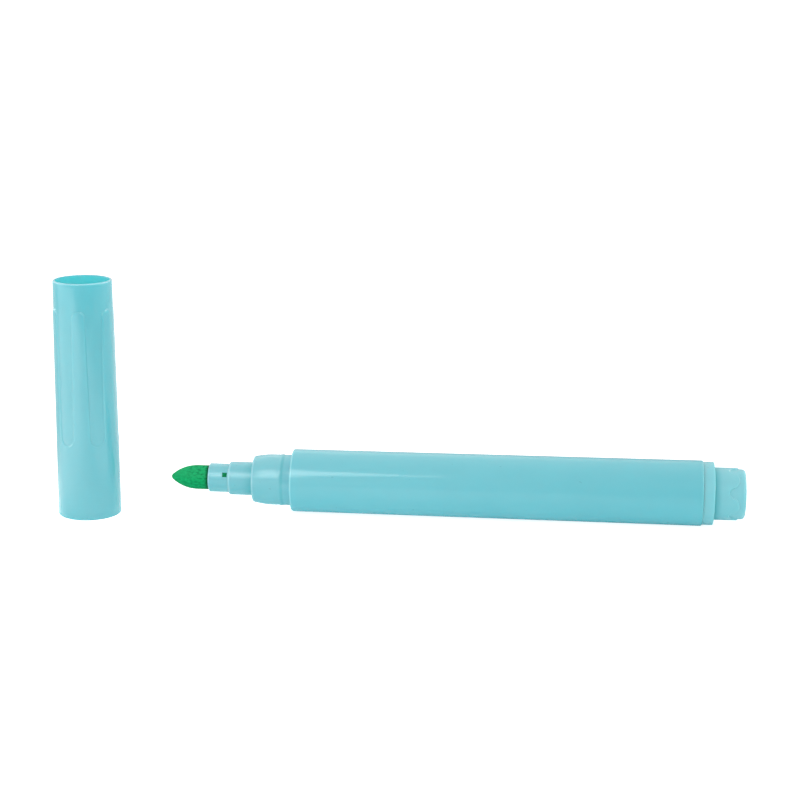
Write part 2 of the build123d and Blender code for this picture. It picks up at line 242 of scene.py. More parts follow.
def lathe(name, profile, angles, to_points, radius_at=None, windows=()):
    """A closed turned body from a closed profile.

    radius_at(row, place, radius, angles) gives a row's radii where they change with the angle.
    A window (outside row, inside row, first column, last column) is cut through both walls.
    """
    rows, columns = len(profile), len(angles)
    grid = np.zeros((rows, columns, 3))
    for row, (place, radius) in enumerate(profile):
        radii = radius_at(row, place, radius, angles) if radius_at else np.full(columns, radius)
        grid[row] = to_points(np.full(columns, place), radii, angles)
    index = np.arange(rows * columns).reshape(rows, columns)
    for row, (_, radius) in enumerate(profile):
        if radius == 0:
            index[row] = index[row, 0]
    cut = set()
    faces = []
    for outside, inside, first, last in windows:
        for c in range(first, last):
            d = c + 1
            cut |= {(outside, c), (inside, c)}
            front = (index[outside, c], index[outside, d], index[inside + 1, d], index[inside + 1, c])
            rear = (index[outside + 1, d], index[outside + 1, c], index[inside, c], index[inside, d])
            faces += [front, rear]
        for c, a, b in ((first, 1, 0), (last, 0, 1)):
            outer = (index[outside + a, c], index[outside + b, c])
            inner = (index[inside + a, c], index[inside + b, c])
            faces.append(outer + inner)
    for row in range(rows):
        below = (row + 1) % rows
        for c in range(columns):
            d = (c + 1) % columns
            if (row, c) not in cut:
                faces.append((index[row, c], index[row, d], index[below, d], index[below, c]))
    faces = [[int(v) for i, v in enumerate(face) if v != face[i - 1]] for face in faces]
    faces = [face for face in faces if len(face) > 2]
    used = sorted({v for face in faces for v in face})
    number = {old: new for new, old in enumerate(used)}
    verts = grid.reshape(-1, 3)[used]
    obj = new_object(name, verts.tolist(), [[number[v] for v in face] for face in faces])
    turn_outward(obj)
    return obj


def round_turns(count):
    return np.arange(count) * 2 * math.pi / count


def soft_step(value, width):
    """0 to 1 as a signed distance passes through zero, over a width."""
    s = np.clip(value / width + 0.5, 0, 1)
    return s * s * (3 - 2 * s)


def offset_angle(angles, middle, count):
    """Angles counted from the nearest of count evenly spaced middles."""
    step = 2 * math.pi / count
    return (angles - middle + step / 2) % step - step / 2


def nearest_row(profile, place, radius):
    """The row of a profile that lies nearest to a place and a radius."""
    misses = [abs(t - place) + abs(r - radius) for t, r in profile]
    return misses.index(min(misses))


# Barrel
BARREL_COLUMNS = 192
barrel = lathe(
    "barrel_moulding",
    rounded(
        [
            (0, NECK_RADIUS, NECK_ROUND),
            (0, BARREL_FRONT_RADIUS, BARREL_ROUND),
            (BARREL_LENGTH, BARREL_REAR_RADIUS, BARREL_ROUND),
            (BARREL_LENGTH, TANK_RADIUS, 0),
            (NECK_LENGTH, TANK_RADIUS, 0),
            (NECK_LENGTH, NECK_RADIUS, 0),
        ]
    ),
    round_turns(BARREL_COLUMNS),
    marker_points,
)

# Nose section: nib holder with vent windows and guide ribs, collar, cap land with its bead, plug
VENT_TURN = math.asin(VENT_HALF / HOLDER_RADIUS)
RIB_TURN = math.asin(RIB_HALF / GUIDE_BORE_RADIUS)
RIB_FLANK = math.radians(0.8)
RIB_CLEAR = 1.8  # half ribs from a rib's middle to the first plain column
PLAIN_COLUMNS = 36
LAND_STEPS = 14
LAND_JOIN = 3  # step of the land's curve where its rounded front edge has ended
BEAD_STEPS = 12
BORE_MARGIN = 0.06


def land_curve():
    """The land's crowned front, from its front edge to where it runs straight."""
    run = -LAND_STRAIGHT - LAND_FRONT
    drop = LAND_RADIUS - LAND_FRONT_RADIUS
    radius = (run * run + drop * drop) / (2 * drop)
    points = []
    for a in np.linspace(math.asin(run / radius), 0, LAND_STEPS + 1):
        points.append((-LAND_STRAIGHT - radius * math.sin(a), LAND_RADIUS - radius * (1 - math.cos(a))))
    return points


def bead_curve():
    across = np.linspace(-1, 1, BEAD_STEPS + 1)
    return [(BEAD_PLACE + a * BEAD_WIDTH / 2, LAND_RADIUS + BEAD_HEIGHT * (1 - a * a)) for a in across]


def nose_profile():
    curve = land_curve()[LAND_JOIN:]
    front = rounded(
        [
            (CHAMBER_FRONT, GUIDE_BORE_RADIUS, 0),
            (HOLDER_FRONT, GUIDE_BORE_RADIUS, HOLDER_BORE_ROUND),
            (HOLDER_FRONT, HOLDER_RADIUS, HOLDER_ROUND),
            (COLLAR_FRONT, HOLDER_RADIUS, COLLAR_FOOT_ROUND),
            (COLLAR_FRONT, COLLAR_RADIUS, COLLAR_ROUND),
            (LAND_FRONT, COLLAR_RADIUS, LAND_FOOT_ROUND),
            (LAND_FRONT, LAND_FRONT_RADIUS, LAND_ROUND),
            (*curve[0], 0),
        ]
    )[1:-1]
    edges = (VENT_PLACE - VENT_HALF, VENT_PLACE + VENT_HALF)
    points = [p for p in front if p[0] < edges[0]]
    points += [(edge, HOLDER_RADIUS) for edge in edges]
    points += [p for p in front if p[0] > edges[1]]
    points += curve + bead_curve()
    points += [(0, LAND_RADIUS), (0, PLUG_RADIUS)]
    points += [(NECK_LENGTH, PLUG_RADIUS), (NECK_LENGTH, VALVE_BORE_RADIUS)]
    points += [(VALVE_SETBACK, VALVE_BORE_RADIUS), (VALVE_SETBACK, CHAMBER_RADIUS)]
    points += [(CHAMBER_FRONT, CHAMBER_RADIUS), (CHAMBER_FRONT, GUIDE_BORE_RADIUS)]
    points += [(edge, GUIDE_BORE_RADIUS) for edge in edges[::-1]]
    return points


def nose_angles():
    """Columns all round, with lines along the ribs' flanks and the windows' sides."""
    marks = []
    step = 2 * math.pi / RIB_COUNT
    clear = RIB_CLEAR * RIB_TURN
    for n in range(RIB_COUNT):
        middle = VENT_ANGLE + n * step
        for off in (RIB_TURN + RIB_FLANK, RIB_TURN, RIB_TURN / 2):
            marks += [middle - off, middle + off]
        marks.append(middle)
        if n % 2 == 0:
            marks += [middle - VENT_TURN, middle + VENT_TURN]
        marks += list(np.linspace(middle + clear, middle + step - clear, PLAIN_COLUMNS))
    return np.array(sorted(marks))


nose_rows = nose_profile()
nose_columns = nose_angles()


def nose_radius(row, place, radius, angles):
    """Lowers the guide bore to the ribs."""
    if abs(radius - GUIDE_BORE_RADIUS) > BORE_MARGIN or place > CHAMBER_FRONT + SUPPORT:
        return np.full(len(angles), radius)
    on_rib = np.abs(offset_angle(angles, VENT_ANGLE, RIB_COUNT)) <= RIB_TURN + 1e-6
    return np.where(on_rib, radius - GUIDE_BORE_RADIUS + GUIDE_RADIUS, radius)


def nearest_column(angle):
    return int(np.argmin(np.abs(nose_columns - angle)))


vent_outside = nearest_row(nose_rows, VENT_PLACE - VENT_HALF, HOLDER_RADIUS)
vent_inside = nearest_row(nose_rows, VENT_PLACE + VENT_HALF, GUIDE_BORE_RADIUS)
vent_windows = [
    (vent_outside, vent_inside, nearest_column(middle - VENT_TURN), nearest_column(middle + VENT_TURN))
    for middle in (VENT_ANGLE, VENT_ANGLE + math.pi)
]
nose = lathe("nose_moulding", nose_rows, nose_columns, marker_points, nose_radius, vent_windows)

# Nib: a bullet with the slight unevenness of bonded fibre
NIB_FUZZ = 0.03
NIB_FUZZ_GAIN = 1.6
NIB_FUZZ_FROM = 0.6  # radius in mm below which the fuzz fades towards the tip
NIB_GRAIN = (0.9, 3.2)  # fibre bumps per mm along and across the nib
NIB_FINE = (2.5, 2.2)  # how much finer the second grain is, along and across
NIB_FINE_SHIFT = 40
NIB_COARSE_SHARE = 0.62
NIB_TIP_STEPS = 16
NIB_TAPER_STEPS = 60
NIB_STRAIGHT_STEPS = 34
NIB_COLUMNS = 224


def nib_profile():
    run = NIB_TAPER - NIB_TIP_RADIUS
    taper_radius = (run**2 + NIB_RADIUS**2 - NIB_TIP_RADIUS**2) / (2 * (NIB_RADIUS - NIB_TIP_RADIUS))
    join = math.atan2(run, taper_radius - NIB_RADIUS)
    points = [(NIB_TIP, 0)]
    for lean in np.linspace(math.pi / 2, join, NIB_TIP_STEPS)[1:]:
        place = NIB_TIP + NIB_TIP_RADIUS * (1 - math.sin(lean))
        points.append((place, NIB_TIP_RADIUS * math.cos(lean)))
    for lean in np.linspace(join, 0, NIB_TAPER_STEPS)[1:]:
        place = NIB_TIP + NIB_TAPER - taper_radius * math.sin(lean)
        points.append((place, NIB_RADIUS - taper_radius * (1 - math.cos(lean))))
    straight = np.linspace(NIB_TIP + NIB_TAPER, HOLDER_FRONT, NIB_STRAIGHT_STEPS)[1:]
    points += [(place, NIB_RADIUS) for place in straight]
    points += [(NIB_TAIL - NIB_TAIL_CHAMFER, NIB_RADIUS), (NIB_TAIL, NIB_RADIUS - NIB_TAIL_CHAMFER)]
    points.append((NIB_TAIL, 0))
    return points


def nib_radius(row, place, radius, angles):
    """Only lowers the surface, so that the nib stays within its CAD shape."""
    if place > HOLDER_FRONT or radius == 0:
        return np.full(len(angles), radius)
    along, across = NIB_GRAIN
    fine_along, fine_across = NIB_FINE
    bumps = []
    for a in angles:
        y = across * radius * math.cos(a)
        z = across * radius * math.sin(a)
        coarse = noise.noise(Vector((place * along, y, z)))
        fine_place = place * along * fine_along + NIB_FINE_SHIFT
        fine = noise.noise(Vector((fine_place, y * fine_across, z * fine_across)))
        bumps.append(NIB_COARSE_SHARE * coarse + (1 - NIB_COARSE_SHARE) * fine)
    bumps = np.clip(np.array(bumps) * NIB_FUZZ_GAIN, -1, 1)
    return radius - NIB_FUZZ * (0.5 - 0.5 * bumps) * min(1, radius / NIB_FUZZ_FROM)


nib = lathe("nib_bullet", nib_profile(), round_turns(NIB_COLUMNS), marker_points, nib_radius)

# Tail plug: stopper with sealing ribs, stop ring, crown with its wavy relief
CROWN_SOFT = 0.2
CROWN_WAVE_FROM = WAVE_CREST - WAVE_DEPTH - 0.4  # just ahead of the wave's troughs
CROWN_STEPS = 46
CROWN_ROUND_STEPS = 10
TAIL_END_RINGS = (4.6, 2.4)  # radii
TAIL_COLUMNS = 480


def tail_profile():
    corners = [
        (STOPPER_FRONT, CROWN_INSIDE_RADIUS, 0),
        (STOPPER_FRONT, STOPPER_RADIUS - STOPPER_LEAD, 0),
        (STOPPER_FRONT + STOPPER_LEAD, STOPPER_RADIUS, 0),
    ]
    for middle in STOPPER_RIB_PLACES:
        front = middle - STOPPER_RIB_HALF
        rear = middle + STOPPER_RIB_HALF
        corners += [(front, STOPPER_RADIUS, 0), (front, STOPPER_RIB_RADIUS, STOPPER_RIB_ROUND)]
        corners += [(rear, STOPPER_RIB_RADIUS, STOPPER_RIB_ROUND), (rear, STOPPER_RADIUS, 0)]
    corners += [
        (BARREL_LENGTH, STOPPER_RADIUS, 0),
        (BARREL_LENGTH, RING_RADIUS, RING_FRONT_ROUND),
        (CROWN_FRONT, RING_RADIUS, RING_ROUND),
        (CROWN_FRONT, CROWN_RADIUS, CROWN_FOOT_ROUND),
        (TAIL_END, CROWN_RADIUS, 0),
    ]
    points = rounded(corners)[:-1]
    low = TAIL_END - CROWN_ROUND
    points += [(place, CROWN_RADIUS) for place in np.linspace(CROWN_WAVE_FROM, low, CROWN_STEPS)]
    for a in np.linspace(0, math.pi / 2, CROWN_ROUND_STEPS)[1:]:
        drop = CROWN_ROUND * (1 - math.cos(a))
        points.append((low + CROWN_ROUND * math.sin(a), CROWN_RADIUS - drop))
    points += [(TAIL_END, radius) for radius in TAIL_END_RINGS]
    points += [(TAIL_END, 0), (CROWN_INSIDE_END, 0), (CROWN_INSIDE_END, CROWN_INSIDE_RADIUS)]
    return points


tail_rows = tail_profile()
crown_first_row = nearest_row(tail_rows, CROWN_WAVE_FROM, CROWN_RADIUS)
crown_last_row = nearest_row(tail_rows, TAIL_END, CROWN_RADIUS - CROWN_ROUND)


def tail_radius(row, place, radius, angles):
    """Lowers the crown beyond its wavy line, which is made of arcs."""
    if not crown_first_row <= row <= crown_last_row:
        return np.full(len(angles), radius)
    half_step = CROWN_RADIUS * math.sin(math.pi / WAVE_COUNT)
    across = np.abs(CROWN_RADIUS * np.sin(offset_angle(angles, WAVE_TROUGH_ANGLE, WAVE_COUNT)))
    in_trough = across < half_step * WAVE_TROUGH_SHARE
    share = np.where(in_trough, WAVE_TROUGH_SHARE, 1 - WAVE_TROUGH_SHARE)
    bend = share * (half_step**2 + WAVE_DEPTH**2) / (2 * WAVE_DEPTH)
    from_end = np.where(in_trough, across, half_step - across)
    rise = bend - np.sqrt(bend**2 - from_end**2)
    line = np.where(in_trough, WAVE_CREST - WAVE_DEPTH + rise, WAVE_CREST - rise)
    slope = from_end / np.sqrt(bend**2 - from_end**2)
    return radius - CROWN_RELIEF * soft_step((place - line) / np.sqrt(1 + slope * slope), CROWN_SOFT)


tail = lathe("tail_moulding", tail_rows, round_turns(TAIL_COLUMNS), marker_points, tail_radius)

# Cap shell: raised fingers with a lowered surface between and above them, rim at the vented end
CAP_SOFT = 0.44
CAP_LOW_RINGS = (0.45, 4, 8, 12, 15, 17)
CAP_SIDE_RINGS = (21.0, 48.7, 28)  # first height, last height, count
CAP_HIGH_RINGS = (52.2, 53.5, 55.0, 56.2)
CAP_FOOT_COUNT = 30
CAP_ARCH_COUNT = 28
CAP_EDGE_STEPS = 8
CAP_COLUMNS = 576


def cap_radius(height):
    """Outside radius of the cap's raised surface."""
    return CAP_MOUTH_RADIUS + (CAP_END_RADIUS - CAP_MOUTH_RADIUS) * height / CAP_LENGTH


def cap_heights():
    """Heights of the rings outside, close together where the fingers begin and end."""
    foot = np.linspace(FINGER_BOTTOM - 0.55, FINGER_BOTTOM + FINGER_LOW_HALF + 0.2, CAP_FOOT_COUNT)
    arches = np.linspace(FINGER_TOP - FINGER_ARCH - 0.2, FINGER_TOP + 0.4, CAP_ARCH_COUNT)
    return [*CAP_LOW_RINGS, *foot, *np.linspace(*CAP_SIDE_RINGS), *arches, *CAP_HIGH_RINGS]


def cap_profile():
    """The profile, and how many of its points lie outside."""
    points = []
    for a in np.linspace(-math.pi / 2, 0, CAP_EDGE_STEPS):
        height = CAP_MOUTH_ROUND * (1 + math.sin(a))
        points.append((height, cap_radius(CAP_MOUTH_ROUND) - CAP_MOUTH_ROUND * (1 - math.cos(a))))
    points += [(height, cap_radius(height)) for height in cap_heights()]
    for a in np.linspace(0, math.pi / 2, CAP_EDGE_STEPS):
        height = CAP_LENGTH - CAP_END_ROUND + CAP_END_ROUND * math.sin(a)
        points.append((height, CAP_END_RADIUS - CAP_END_ROUND * (1 - math.cos(a))))
    outside = len(points)
    points += rounded(
        [
            (CAP_LENGTH, CAP_END_RADIUS - CAP_RELIEF - CAP_END_ROUND, 0),
            (CAP_LENGTH, END_BORE_RADIUS, CAP_BORE_ROUND),
            (LEDGE_HIGH, END_BORE_RADIUS, LEDGE_ROUND),
            (LEDGE_HIGH, LEDGE_RADIUS, LEDGE_ROUND),
            (LEDGE_LOW, LEDGE_RADIUS, 0),
            (LEDGE_LOW, CAP_BORE_RADIUS, 0),
            (MOUTH_BORE_DEPTH, CAP_BORE_RADIUS, 0),
            (MOUTH_BORE_DEPTH, MOUTH_BORE_RADIUS, 0),
            (MOUTH_LEAD, MOUTH_BORE_RADIUS, 0),
            (0, MOUTH_BORE_RADIUS + MOUTH_LEAD, 0),
        ]
    )[1:]
    return points, outside


cap_rows, cap_outside_rows = cap_profile()


def cap_relief_radius(row, place, radius, angles):
    """Lowers the outside between the fingers and above them."""
    if row >= cap_outside_rows:
        return np.full(len(angles), radius)
    across = np.abs(cap_radius(place) * np.sin(offset_angle(angles, FINGER_ANGLE, FINGER_COUNT)))
    low_middle = FINGER_BOTTOM + FINGER_LOW_HALF
    high_middle = FINGER_TOP - FINGER_ARCH
    if place < low_middle:
        inside = FINGER_LOW_HALF - np.hypot(across, place - low_middle)
    elif place < high_middle:
        share = (place - low_middle) / (high_middle - low_middle)
        inside = FINGER_LOW_HALF + (FINGER_HIGH_HALF - FINGER_LOW_HALF) * share - across
    else:
        inside = np.hypot(across - FINGER_HALF_STEP, place - high_middle) - FINGER_ARCH
    return radius - CAP_RELIEF * soft_step(inside, CAP_SOFT)


cap = lathe("cap_moulding", cap_rows, round_turns(CAP_COLUMNS), cap_points, cap_relief_radius)

# Valve spring: a coiled wire
SPRING_STEPS = 40
SPRING_SIDES = 14


def spring_mesh(name):
    verts, faces = [], []
    count = SPRING_TURNS * SPRING_STEPS
    pitch = (SPRING_REAR - SPRING_FRONT) / (2 * math.pi * SPRING_TURNS)
    length = math.hypot(SPRING_COIL_RADIUS, pitch)
    for i in range(count + 1):
        a = 2 * math.pi * i / SPRING_STEPS
        y = SPRING_COIL_RADIUS * math.cos(a)
        z = SPRING_COIL_RADIUS * math.sin(a)
        middle = np.array((SPRING_FRONT + pitch * a, y, z))
        outward = np.array((0, math.cos(a), math.sin(a)))
        along = np.array((pitch, -z, y)) / length
        sideways = np.cross(along, outward)
        for k in range(SPRING_SIDES):
            b = 2 * math.pi * k / SPRING_SIDES
            p = middle + SPRING_WIRE_RADIUS * (math.cos(b) * outward + math.sin(b) * sideways)
            verts.append((x_at(p[0]), AXIS_Y + p[1] * MM, AXIS_Z + p[2] * MM))
    for i in range(count):
        for k in range(SPRING_SIDES):
            n = (k + 1) % SPRING_SIDES
            a, b = i * SPRING_SIDES, (i + 1) * SPRING_SIDES
            faces.append((a + k, a + n, b + n, b + k))
    faces.append(tuple(range(SPRING_SIDES))[::-1])
    faces.append(tuple(count * SPRING_SIDES + k for k in range(SPRING_SIDES)))
    obj = new_object(name, verts, faces)
    turn_outward(obj)
    return obj


spring = spring_mesh("spring_wire")


# Materials
class Tree:
    """The nodes of a material or world. A value given to a node is a number or another node's output."""

    def __init__(self, owner):
        owner.use_nodes = True
        self.nodes = owner.node_tree.nodes
        self.links = owner.node_tree.links

    def give(self, socket, value):
        if isinstance(value, bpy.types.NodeSocket):
            self.links.new(value, socket)
        else:
            socket.default_value = value

    def maths(self, operation, *values):
        node = self.nodes.new("ShaderNodeMath")
        node.operation = operation
        for socket, value in zip(node.inputs, values):
            self.give(socket, value)
        return node.outputs[0]

    def between(self, share, first, second):
        """A number that goes from first to second as a share goes from 0 to 1."""
        rest = self.maths("SUBTRACT", 1, share)
        return self.maths("ADD", self.maths("MULTIPLY", first, rest), self.maths("MULTIPLY", second, share))

    def away(self, value, middle):
        """How far a value is from a middle, on either side."""
        return self.maths("ABSOLUTE", self.maths("SUBTRACT", value, middle))

    def split(self, vector):
        """The three numbers of a vector."""
        node = self.nodes.new("ShaderNodeSeparateXYZ")
        self.links.new(vector, node.inputs[0])
        return node.outputs

    def map_range(self, value, low, high, to_low, to_high):
        node = self.nodes.new("ShaderNodeMapRange")
        names = ("Value", "From Min", "From Max", "To Min", "To Max")
        for name, given in zip(names, (value, low, high, to_low, to_high)):
            self.give(node.inputs[name], given)
        return node.outputs["Result"]

    def ramp(self, value, reach, stops):
        """A number that follows straight lines between (value, number) stops."""
        low, high = reach
        node = self.nodes.new("ShaderNodeFloatCurve")
        curve = node.mapping.curves[0]
        top = max(number for _, number in stops)
        places = [((at - low) / (high - low), number / top) for at, number in stops]
        for _ in places[2:]:
            curve.points.new(0.5, 0.5)
        for point, where in zip(curve.points, places):
            point.location = where
            point.handle_type = "VECTOR"
        node.mapping.update()
        self.links.new(self.map_range(value, low, high, 0, 1), node.inputs["Value"])
        return self.maths("MULTIPLY", node.outputs["Value"], top)

    def noise(self, coords, scale, detail, stretch=(1, 1, 1)):
        """Noise in bumps per metre, stretched along the row's axes."""
        mapping = self.nodes.new("ShaderNodeMapping")
        mapping.inputs["Scale"].default_value = stretch
        self.links.new(coords, mapping.inputs["Vector"])
        node = self.nodes.new("ShaderNodeTexNoise")
        node.inputs["Scale"].default_value = scale
        node.inputs["Detail"].default_value = detail
        self.links.new(mapping.outputs["Vector"], node.inputs["Vector"])
        return node.outputs["Fac"]

    def mix(self, share, first, second):
        """Colour between two, each a tuple or a node's output."""
        node = self.nodes.new("ShaderNodeMix")
        node.data_type = "RGBA"
        self.links.new(share, node.inputs["Factor"])
        for name, colour in (("A", first), ("B", second)):
            socket = next(s for s in node.inputs if s.name == name and s.type == "RGBA")
            self.give(socket, (*colour, 1) if isinstance(colour, tuple) else colour)
        return next(s for s in node.outputs if s.type == "RGBA")

    def bump(self, shader, height, distance, strength):
        node = self.nodes.new("ShaderNodeBump")
        node.inputs["Strength"].default_value = strength
        node.inputs["Distance"].default_value = distance
        self.links.new(height, node.inputs["Height"])
        self.links.new(node.outputs["Normal"], shader.inputs["Normal"])


def material(name):
    mat = bpy.data.materials.new(name)
    tree = Tree(mat)
    coords = tree.nodes.new("ShaderNodeTexCoord").outputs["Object"]
    return mat, tree, tree.nodes["Principled BSDF"], coords


CLOUD_SCALE = 70
CLOUD_SHADE = 0.965
FLECK_SCALE = 900
FLECK_SHADE = 0.72
SMEAR_SCALE = 160
DRAG_SCALE = 420
DRAG_HEIGHT = 0.02 * MM
PLASTIC_IOR = 1.5
PLASTIC_CLOUDINESS = 0.8
PLASTIC_SCATTER = (0.4, 1.0, 1.0)


def plastic(name, tone, along, roughness, drag, depth, *tints):
    """Moulded plastic: cloudy pigment, a few flecks, faint drag lines along the moulding.

    Light reaches depth mm into it. A tint(tree, coords) gives a share and the tone that it turns to.
    """
    mat, tree, shader, coords = material(name)
    cloud = tree.map_range(tree.noise(coords, CLOUD_SCALE, 3), 0.3, 0.7, 0, 1)
    colour = tree.mix(cloud, tone, tuple(CLOUD_SHADE * c for c in tone))
    flecks = tree.map_range(tree.noise(coords, FLECK_SCALE, 1), 0.775, 0.8, 0, 0.5)
    colour = tree.mix(flecks, colour, tuple(FLECK_SHADE * c for c in tone))
    for tint in tints:
        share, other_tone = tint(tree, coords)
        colour = tree.mix(share, colour, other_tone)
    tree.links.new(colour, shader.inputs["Base Color"])
    smear = tree.noise(coords, SMEAR_SCALE, 4, along)
    tree.links.new(tree.map_range(smear, 0.3, 0.7, *roughness), shader.inputs["Roughness"])
    tree.bump(shader, tree.noise(coords, DRAG_SCALE, 2, along), DRAG_HEIGHT, drag)
    shader.inputs["IOR"].default_value = PLASTIC_IOR
    shader.inputs["Subsurface Weight"].default_value = PLASTIC_CLOUDINESS
    shader.inputs["Subsurface Radius"].default_value = PLASTIC_SCATTER
    shader.inputs["Subsurface Scale"].default_value = depth * MM
    return mat


AQUA_TONE = (0.168, 0.603, 0.682)
AQUA_MILKY = (0.24, 0.645, 0.71)
AQUA_CAP = (0.17, 0.588, 0.662)
AQUA_NOSE = (0.205, 0.618, 0.69)
AQUA_PAINTED_HIGHLIGHT = (0.35, 0.70, 0.77)
AQUA_RIM_HIGHLIGHT = (0.30, 0.60, 0.70)
AQUA_PAINTED_SHADE = (0.06, 0.50, 0.55)
AQUA_INSIDE_PAINTED_LIGHT = (0.215, 0.76, 0.82)

# Reach of the painted shade, painted highlight and painted light tints in mm
CROWN_SHADE = 1.7
COLLAR_SHADE = 2.4
BEAD_FOOT = 0.5
BEAD_SHADE = (0.15, 0.55)
FACE_MARGIN = 0.02
INSIDE_MARGIN = 0.03
RIM_HIGHLIGHT_BAND = (0.4, 0.1)


def crown_painted_shade(tree, coords):
    """Painted shade in the crown's corner behind the stop ring, darker where the ring shades it and light
    has bounced more than once.
    """
    x = tree.split(coords)["X"]
    near = x_at(CROWN_FRONT + CROWN_FOOT_ROUND)
    away = tree.map_range(x, near, near + CROWN_SHADE * MM, 0, 1)
    share = tree.maths("SUBTRACT", 1, tree.maths("POWER", away, 0.5))
    behind_ring = tree.maths("GREATER_THAN", x, x_at(CROWN_FRONT - FACE_MARGIN))
    return tree.maths("MULTIPLY", share, behind_ring), AQUA_PAINTED_SHADE


def nose_painted_shade(tree, coords):
    """Painted shade at the foot of the bead and at the collar's rear, where light has bounced more than
    once.
    """
    x = tree.split(coords)["X"]
    near, far = BEAD_SHADE
    bead = tree.map_range(tree.away(x, x_at(BEAD_PLACE + BEAD_FOOT)), near * MM, far * MM, 0.4, 0)
    collar = tree.map_range(x, x_at(LAND_FRONT - COLLAR_SHADE), x_at(LAND_FRONT), 0, 0.45)
    ahead_of_land = tree.maths("LESS_THAN", x, x_at(LAND_FRONT + FACE_MARGIN))
    collar = tree.maths("MULTIPLY", collar, ahead_of_land)
    return tree.maths("MAXIMUM", bead, collar), AQUA_PAINTED_SHADE


def cap_inside_painted_light(tree, coords):
    """Painted light on the cap's inside, lighter where light comes through the wall."""
    place = tree.split(coords)
    x = tree.maths("POWER", tree.maths("SUBTRACT", place["X"], CAP_X), 2)
    y = tree.maths("POWER", tree.maths("SUBTRACT", place["Y"], CAP_Y), 2)
    wall = (END_BORE_RADIUS + INSIDE_MARGIN) * MM
    return tree.maths("LESS_THAN", tree.maths("ADD", x, y), wall * wall), AQUA_INSIDE_PAINTED_LIGHT


def cap_rim_painted_highlight(tree, coords):
    """Painted highlight on the rim at the cap's vented end, where it catches the light."""
    low, high = [CAP_Z + (CAP_LENGTH - below) * MM for below in RIM_HIGHLIGHT_BAND]
    return tree.map_range(tree.split(coords)["Z"], low, high, 0, 0.8), AQUA_RIM_HIGHLIGHT


def painted_highlight_edges(*edges):
    """A painted highlight on edges of the marker, where they catch the light, each (place, width) in mm."""

    def tint(tree, coords):
        x = tree.split(coords)["X"]
        bands = []
        for place, width in edges:
            off = tree.away(x, x_at(place + width / 2))
            bands.append(tree.map_range(off, 0.35 * width * MM, 0.6 * width * MM, 0.75, 0))
        share = bands[0]
        for band in bands[1:]:
            share = tree.maths("MAXIMUM", share, band)
        return share, AQUA_PAINTED_HIGHLIGHT

    return tint


ALONG_MARKER = (0.12, 1, 1)
ALONG_CAP = (1, 1, 0.12)
# Painted highlights on the edges that catch the light
barrel_painted_highlights = painted_highlight_edges((0, 0.4))
nose_painted_highlights = painted_highlight_edges((HOLDER_FRONT, 0.4), (COLLAR_FRONT, 0.6), (LAND_FRONT, 0.45))
barrel_aqua = plastic("aqua_barrel", AQUA_TONE, ALONG_MARKER, (0.06, 0.1), 0.25, 1.6, barrel_painted_highlights)
nose_aqua = plastic("aqua_nose", AQUA_NOSE, ALONG_MARKER, (0.14, 0.2), 0.15, 0.6, nose_painted_shade, nose_painted_highlights)
tail_aqua = plastic("aqua_tail", AQUA_MILKY, ALONG_MARKER, (0.29, 0.33), 0.08, 1.6, crown_painted_shade)
cap_aqua = plastic("aqua_cap", AQUA_CAP, ALONG_CAP, (0.07, 0.11), 0.25, 1.6, cap_inside_painted_light, cap_rim_painted_highlight)

# The nib's ink, with painted light on top and painted shade underneath and at the holder: tones, noise
# scales and the stretches of x or z over which each comes in
INK_DEEP = (0.003, 0.31, 0.098)
INK_LIGHT = (0.014, 0.53, 0.18)
INK_WET = (0.005, 0.43, 0.14)
INK_PAINTED_LIGHT_TOP = (0.03, 0.52, 0.19)
INK_PAINTED_SHADE_BELOW = (0.001, 0.31, 0.12)
INK_PITS = (0.002, 0.17, 0.06)
INK_AND_SHADE_ROOT = (0.002, 0.10, 0.035)
STRAND_SCALE = 2600
WET_SCALE = 420
PIT_SCALE = 2100
FUZZ_SCALE = 3600
FUZZ_HEIGHT = 0.08 * MM
NIB_PITTED = [x_at(HOLDER_FRONT + off) for off in (-7.0, -2.5)]
NIB_ROOT = [x_at(HOLDER_FRONT + off) for off in (-0.9, -0.2)]
NIB_INSIDE = [x_at(HOLDER_FRONT + off) for off in (0.5, 1.5)]
NIB_PAINTED_LIGHT_HEIGHTS = [AXIS_Z + off * MM for off in (-0.3, 1.2)]
NIB_PAINTED_SHADE_HEIGHTS = [AXIS_Z + off * MM for off in (-2.2, 0)]


